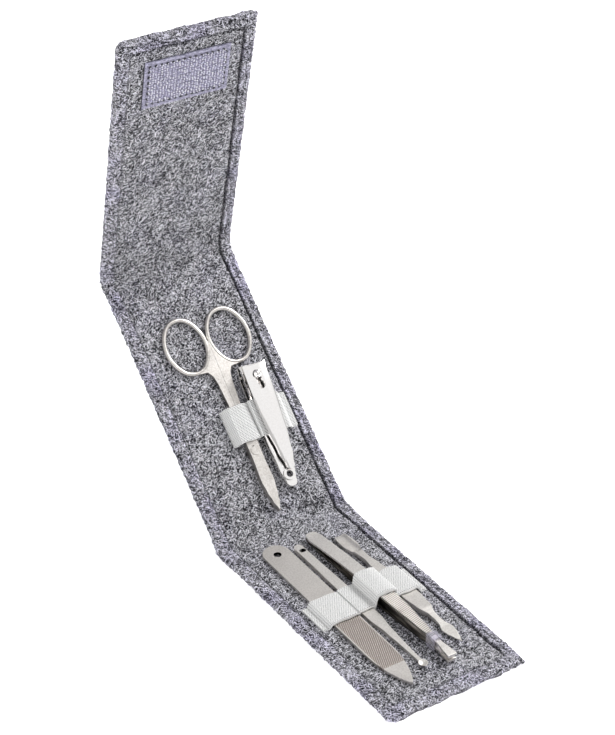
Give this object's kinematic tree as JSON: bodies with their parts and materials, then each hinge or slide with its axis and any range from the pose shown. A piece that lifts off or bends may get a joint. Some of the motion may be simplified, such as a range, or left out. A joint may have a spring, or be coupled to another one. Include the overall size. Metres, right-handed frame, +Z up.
{
  "type": "manicure set case",
  "caption": "Open folding felt manicure case with nail file, ear pick, tweezers and cuticle pusher under one elastic band, scissors and nail clipper under another.",
  "frame": {"origin": "middle of the lower panel's flat underside, half way between its free end and the lower crease", "axes": "+X across the case to the right as it faces the viewer, +Y from the lower panel's free end back to the lower crease, +Z up, away from the surface the lower panel lies on"},
  "size_m": [0.062, 0.2129, 0.1991],
  "materials": {
    "outer_felt": "matted grey felt, salt-and-pepper",
    "lining_felt": "matted grey felt, mottled",
    "patch": "pale violet hook and loop tape",
    "elastic": "white ribbed elastic",
    "satin_steel": "satin warm grey steel",
    "polished_steel": "polished",
    "clear_plastic": "clear, lilac tinted"
  },
  "bodies": {
    "lower_panel": {"lower_panel_outer": "outer_felt", "lower_panel_lining": "lining_felt", "loop_patch": "patch", "lower_elastic": "elastic"},
    "lower_fold": {"lower_fold_outer": "outer_felt", "lower_fold_lining": "lining_felt"},
    "middle_panel": {"middle_panel_outer": "outer_felt", "middle_panel_lining": "lining_felt", "middle_elastic": "elastic"},
    "upper_fold": {"upper_fold_outer": "outer_felt", "upper_fold_lining": "lining_felt"},
    "flap": {"flap_outer": "outer_felt", "flap_lining": "lining_felt", "hook_patch": "patch"},
    "nail_file": {"nail_file": "satin_steel"},
    "ear_pick": {"ear_pick": "satin_steel"},
    "tweezers": {"tweezers_lower_arm": "satin_steel"},
    "tweezers_arm": {"tweezers_upper_arm": "satin_steel"},
    "tip_sleeve": {"tweezers_tip_sleeve": "clear_plastic"},
    "cuticle_pusher": {"cuticle_pusher": "satin_steel"},
    "scissors": {"scissors_right_half": "satin_steel", "scissors_rivet": "polished_steel"},
    "scissors_left": {"scissors_left_half": "satin_steel"},
    "clipper": {"clipper_lower_arm": "polished_steel", "clipper_eyelet": "polished_steel"},
    "clipper_arm": {"clipper_upper_arm": "polished_steel"},
    "clipper_post": {"clipper_post": "polished_steel"},
    "clipper_lever": {"clipper_lever": "polished_steel"}
  },
  "joints": [
    {"name": "lower_fold_front", "type": "hinge", "parent": "lower_panel", "child": "lower_fold", "pos_m": [0, 0.04977, 0.0032], "axis": [1, 0, 0], "range_deg": [-8, 70.21]},
    {"name": "lower_fold_back", "type": "hinge", "parent": "lower_fold", "child": "middle_panel", "pos_m": [0, 0.06353, 0.00748], "axis": [1, 0, 0], "range_deg": [-8, 65.29]},
    {"name": "upper_fold_front", "type": "hinge", "parent": "middle_panel", "child": "upper_fold", "pos_m": [0, 0.14564, 0.08141], "axis": [1, 0, 0], "range_deg": [-8, 39.53]},
    {"name": "upper_fold_back", "type": "hinge", "parent": "upper_fold", "child": "flap", "pos_m": [0, 0.1446, 0.10532], "axis": [1, 0, 0], "range_deg": [-8, 81.97]},
    {"name": "file_slide", "type": "slide", "parent": "lower_panel", "child": "nail_file", "axis": [0, 1, 0], "range_m": [-0.045, 0]},
    {"name": "pick_slide", "type": "slide", "parent": "lower_panel", "child": "ear_pick", "axis": [-0.007, 1, 0], "range_m": [-0.045, 0]},
    {"name": "tweezers_slide", "type": "slide", "parent": "lower_panel", "child": "tweezers", "axis": [-0.0209, 0.9998, 0], "range_m": [-0.03, 0]},
    {"name": "pusher_slide", "type": "slide", "parent": "lower_panel", "child": "cuticle_pusher", "axis": [-0.0262, 0.9997, 0], "range_m": [-0.018, 0]},
    {"name": "tweezers_squeeze", "type": "hinge", "parent": "tweezers", "child": "tweezers_arm", "pos_m": [0.00432, 0.04345, 0.00525], "axis": [-0.9998, -0.0209, 0], "range_deg": [-0.7, 0], "stiffness_Nm_per_rad": 0.3, "springref_deg": 1.15},
    {"name": "sleeve_slide", "type": "slide", "parent": "tweezers", "child": "tip_sleeve", "axis": [-0.0209, 0.9998, 0], "range_m": [-0.003, 0]},
    {"name": "scissors_slide", "type": "slide", "parent": "middle_panel", "child": "scissors", "axis": [-0.0227, -0.743, -0.669], "range_m": [-0.02, 0]},
    {"name": "scissors_pivot", "type": "hinge", "parent": "scissors", "child": "scissors_left", "pos_m": [0.0006, 0.08352, 0.02589], "axis": [0, 0.6691, -0.7431], "range_deg": [-3, 0]},
    {"name": "clipper_slide", "type": "slide", "parent": "middle_panel", "child": "clipper", "axis": [-0.0593, -0.7418, -0.668], "range_m": [-0.0024, 0]},
    {"name": "clipper_squeeze", "type": "hinge", "parent": "clipper", "child": "clipper_arm", "pos_m": [0.01064, 0.07495, 0.02059], "axis": [0.9982, -0.0441, -0.0397], "range_deg": [-1.5, 0], "stiffness_Nm_per_rad": 0.3, "springref_deg": 0.57},
    {"name": "post_turn", "type": "hinge", "parent": "clipper", "child": "clipper_post", "pos_m": [0.01295, 0.10398, 0.04667], "axis": [0, 0.6691, -0.7431], "range_deg": [-180, 0]},
    {"name": "lever_tilt", "type": "hinge", "parent": "clipper_post", "child": "clipper_lever", "pos_m": [0.01295, 0.09985, 0.05126], "axis": [0.9996, -0.022, -0.0199], "range_deg": [-15, 0]}
  ]
}
